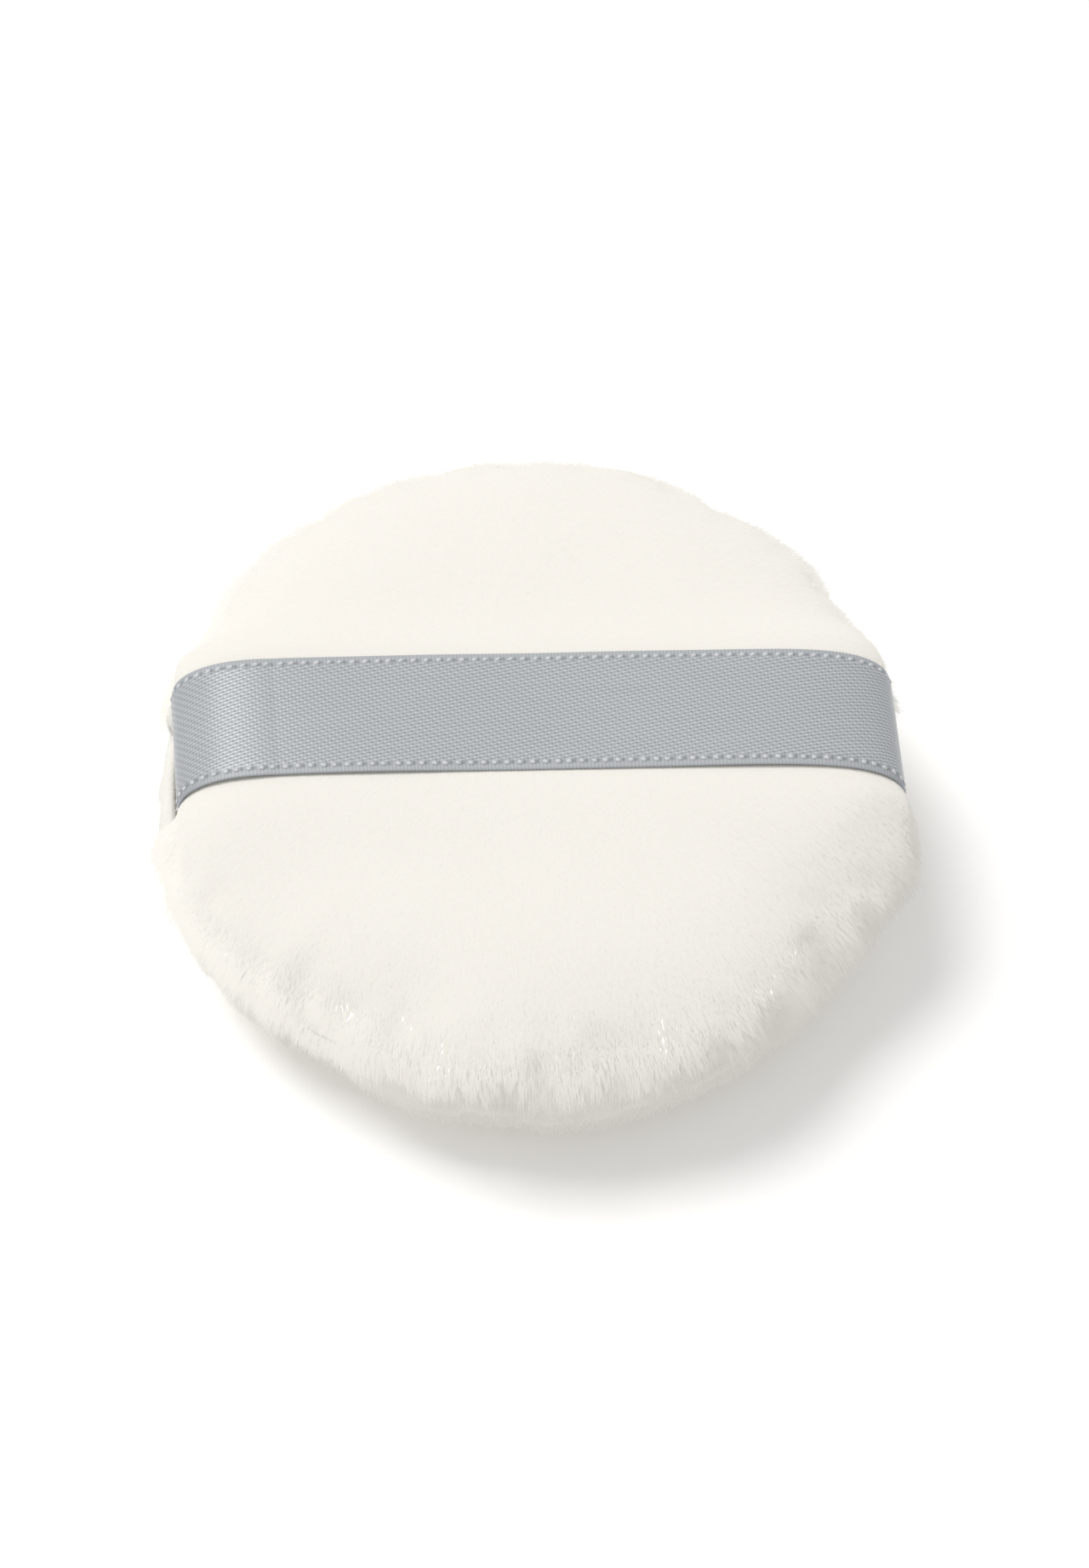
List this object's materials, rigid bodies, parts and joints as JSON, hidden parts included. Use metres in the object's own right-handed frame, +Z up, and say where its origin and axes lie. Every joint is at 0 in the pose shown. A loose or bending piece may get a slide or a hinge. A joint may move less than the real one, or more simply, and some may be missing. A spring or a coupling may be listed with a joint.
{
  "type": "powder puff",
  "caption": "Round cushioned powder puff of white velour pile over a foam disc, sewn round the edge, with a grey-blue satin ribbon strap across the top to slip the fingers under.",
  "frame": {"origin": "middle of the flat base of the powder side, on the surface the puff lies on", "axes": "+Z up through the crown, the shortest way through the puff; +X along the ribbon strap"},
  "size_m": [0.08, 0.08, 0.0259],
  "materials": {
    "pile": "dense short velour pile, matte",
    "foam": "open-cell soft foam",
    "ribbon": "satin weave with stitched edges, soft sheen",
    "thread": "twisted sewing thread"
  },
  "bodies": {
    "puff": {"top_cover": "pile", "bottom_cover": "pile", "foam_core": "foam", "seam_thread": "thread", "ribbon_end_left": "ribbon", "ribbon_end_right": "ribbon"},
    "ribbon": {"ribbon_span": "ribbon"}
  },
  "joints": [
    {"name": "ribbon_lift", "type": "slide", "parent": "puff", "child": "ribbon", "axis": [0, 0, 1], "range_m": [0, 0.006], "deforming": ["ribbon_end_left", "ribbon_end_right"]}
  ]
}
